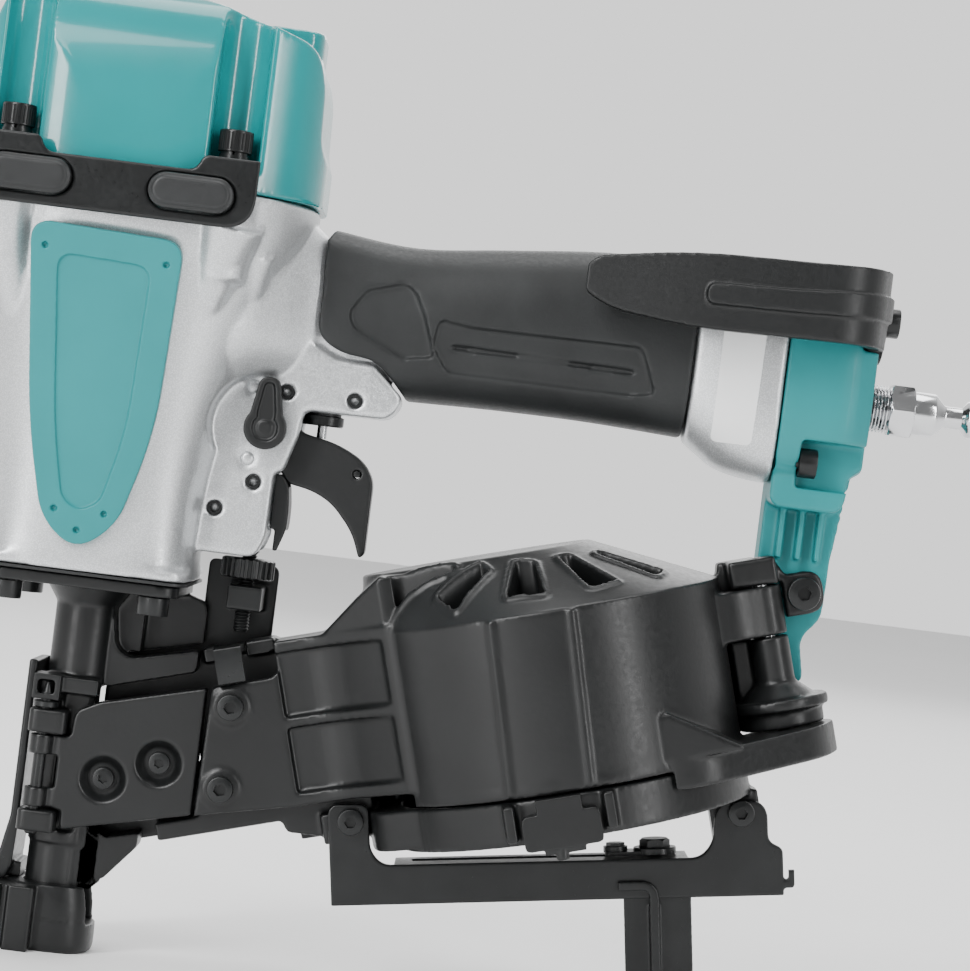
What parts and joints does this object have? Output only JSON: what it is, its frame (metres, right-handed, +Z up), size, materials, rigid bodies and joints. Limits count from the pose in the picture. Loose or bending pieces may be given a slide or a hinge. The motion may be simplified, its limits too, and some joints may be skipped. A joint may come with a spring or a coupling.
{
  "type": "pneumatic coil roofing nailer",
  "caption": "Pneumatic coil nailer with an in-line head, rubber grip, swing-open drum magazine, contact nose, sprung trigger, belt hook and sliding shingle guide.",
  "frame": {"origin": "middle of the bottom of the whole tool's box, at the level of the contact foot's tip", "axes": "+Z up along the drive axis, +X back along the handle to the air plug, -Y the side where the door and magazine open"},
  "size_m": [0.2892, 0.1082, 0.273],
  "materials": {
    "silver_casting": "silver paint with fine metal flake on a casting",
    "teal_paint": "smooth gloss enamel",
    "teal_plastic": "satin moulded plastic",
    "grip_rubber": "soft matt rubber with moulded texture",
    "bumper_rubber": "satin rubber",
    "black_casting": "black, lightly textured, semi matt",
    "black_plastic": "black moulded plastic",
    "black_steel": "black oxide on steel",
    "bright_steel": "turned steel",
    "plated_steel": "bright plated steel",
    "cylinder_alloy": "machined, hard coated"
  },
  "bodies": {
    "body": {"housing": "silver_casting", "top_cap": "teal_paint", "cap_bolt_1": "black_steel", "cap_bolt_2": "black_steel", "cap_bolt_3": "black_steel", "cap_bolt_4": "black_steel", "guard_plate_left": "black_steel", "guard_plate_right": "black_steel", "guard_pads_left": "bumper_rubber", "guard_pads_right": "bumper_rubber", "badge_left": "teal_plastic", "badge_right": "teal_plastic", "cylinder_sleeve": "cylinder_alloy", "piston_bumper": "bumper_rubber", "handle_grip": "grip_rubber", "end_cap": "teal_plastic", "end_cap_screw": "black_steel", "air_plug": "plated_steel", "hook_bolt": "black_steel", "valve_bushing": "black_steel", "arm_guide": "black_plastic", "nose": "black_steel", "nose_gasket": "bumper_rubber", "nose_bolt_1": "black_steel", "nose_bolt_2": "black_steel", "nose_bolt_3": "black_steel", "nose_bolt_4": "black_steel", "contact_spring": "bright_steel", "magazine_base": "black_casting", "magazine_hinge_pin": "bright_steel", "bracket_screw": "black_steel", "feed_cylinder": "black_steel", "guide_rail": "black_steel", "rail_screw_1": "black_steel", "rail_screw_2": "black_steel", "door_hinge_pin": "bright_steel"},
    "exhaust_cover": {"exhaust_cover": "black_plastic"},
    "piston_driver": {"piston_driver": "bright_steel"},
    "head_valve": {"head_valve": "black_plastic"},
    "trigger": {"trigger": "black_plastic", "trigger_lever": "bright_steel"},
    "valve_stem": {"valve_stem": "bright_steel"},
    "mode_lever": {"mode_lever": "black_plastic"},
    "contact_arm": {"contact_arm": "black_steel", "contact_foot": "black_steel"},
    "depth_wheel": {"depth_wheel": "black_steel"},
    "contact_link": {"contact_link": "black_steel"},
    "door": {"door": "black_steel", "door_screw_1": "black_steel", "door_screw_2": "black_steel"},
    "latch_lever": {"latch_lever": "black_steel"},
    "feed_pawl": {"feed_pawl": "bright_steel"},
    "magazine_cap": {"magazine_cap": "black_casting", "magazine_cap_screw_1": "black_steel", "magazine_cap_screw_2": "black_steel"},
    "cap_catch": {"cap_catch": "black_casting"},
    "nail_support": {"nail_support": "black_casting"},
    "belt_hook": {"belt_hook": "black_plastic"},
    "guide_foot": {"guide_foot": "black_steel", "clamp_bolt": "black_steel"}
  },
  "joints": [
    {"name": "exhaust_swivel", "type": "hinge", "parent": "body", "child": "exhaust_cover", "pos_m": [-0.1216, 0.0029, 0.262], "axis": [0, 0, 1], "continuous": true},
    {"name": "driver_stroke", "type": "slide", "parent": "body", "child": "piston_driver", "axis": [0, 0, -1], "range_m": [0, 0.056]},
    {"name": "head_valve_lift", "type": "slide", "parent": "body", "child": "head_valve", "axis": [0, 0, 1], "range_m": [0, 0.005], "stiffness_N_per_m": 400, "springref_m": -0.004},
    {"name": "trigger_pull", "type": "hinge", "parent": "body", "child": "trigger", "pos_m": [-0.0551, 0.0029, 0.152], "axis": [0, -1, 0], "range_deg": [0, 9], "stiffness_Nm_per_rad": 0.3, "springref_deg": -17.19},
    {"name": "valve_stem_lift", "type": "slide", "parent": "body", "child": "valve_stem", "axis": [0, 0, 1], "range_m": [0, 0.003]},
    {"name": "mode_turn", "type": "hinge", "parent": "body", "child": "mode_lever", "pos_m": [-0.0551, -0.0141, 0.152], "axis": [0, -1, 0], "range_deg": [0, 130]},
    {"name": "contact_press", "type": "slide", "parent": "body", "child": "contact_arm", "axis": [0, 0, 1], "range_m": [0, 0.0085], "stiffness_N_per_m": 1500, "springref_m": -0.02, "deforming": ["contact_spring"]},
    {"name": "depth_turn", "type": "hinge", "parent": "contact_arm", "child": "depth_wheel", "pos_m": [-0.0562, 0.0049, 0.112], "axis": [0, 0, 1], "range_deg": [-360, 360]},
    {"name": "link_height", "type": "slide", "parent": "contact_arm", "child": "contact_link", "axis": [0, 0, 1], "range_m": [-0.0013, 0.0013]},
    {"name": "door_swing", "type": "hinge", "parent": "body", "child": "door", "pos_m": [-0.1061, -0.0101, 0.05], "axis": [0, 0, -1], "range_deg": [0, 100]},
    {"name": "latch_swing", "type": "hinge", "parent": "body", "child": "latch_lever", "pos_m": [-0.05765, 0.0039, 0.08885], "axis": [-0.9598, 0, -0.2807], "range_deg": [0, 45], "stiffness_Nm_per_rad": 0.03, "springref_deg": -22.92},
    {"name": "pawl_feed", "type": "slide", "parent": "body", "child": "feed_pawl", "axis": [0.9598, 0, 0.2807], "range_m": [0, 0.008], "stiffness_N_per_m": 300, "springref_m": -0.01},
    {"name": "magazine_swing", "type": "hinge", "parent": "body", "child": "magazine_cap", "pos_m": [0.09346, -0.0041, 0.10334], "axis": [-0.2807, 0, 0.9598], "range_deg": [0, 95]},
    {"name": "catch_press", "type": "slide", "parent": "body", "child": "cap_catch", "axis": [0.2807, 0, -0.9598], "range_m": [0, 0.004], "stiffness_N_per_m": 400, "springref_m": -0.004},
    {"name": "support_height", "type": "slide", "parent": "body", "child": "nail_support", "axis": [-0.2807, 0, 0.9598], "range_m": [0, 0.014]},
    {"name": "hook_turn", "type": "hinge", "parent": "body", "child": "belt_hook", "pos_m": [0.1104, 0.0029, 0.2033], "axis": [-1, 0, 0], "range_deg": [0, 180]},
    {"name": "guide_slide", "type": "slide", "parent": "body", "child": "guide_foot", "axis": [0.989, 0, 0.1478], "range_m": [-0.05, 0.002]}
  ],
  "couplings": [
    {"joint": "valve_stem_lift", "follows": "trigger_pull", "m_per_rad": 0.0149},
    {"joint": "link_height", "follows": "depth_turn", "m_per_rad": 0.0002}
  ]
}
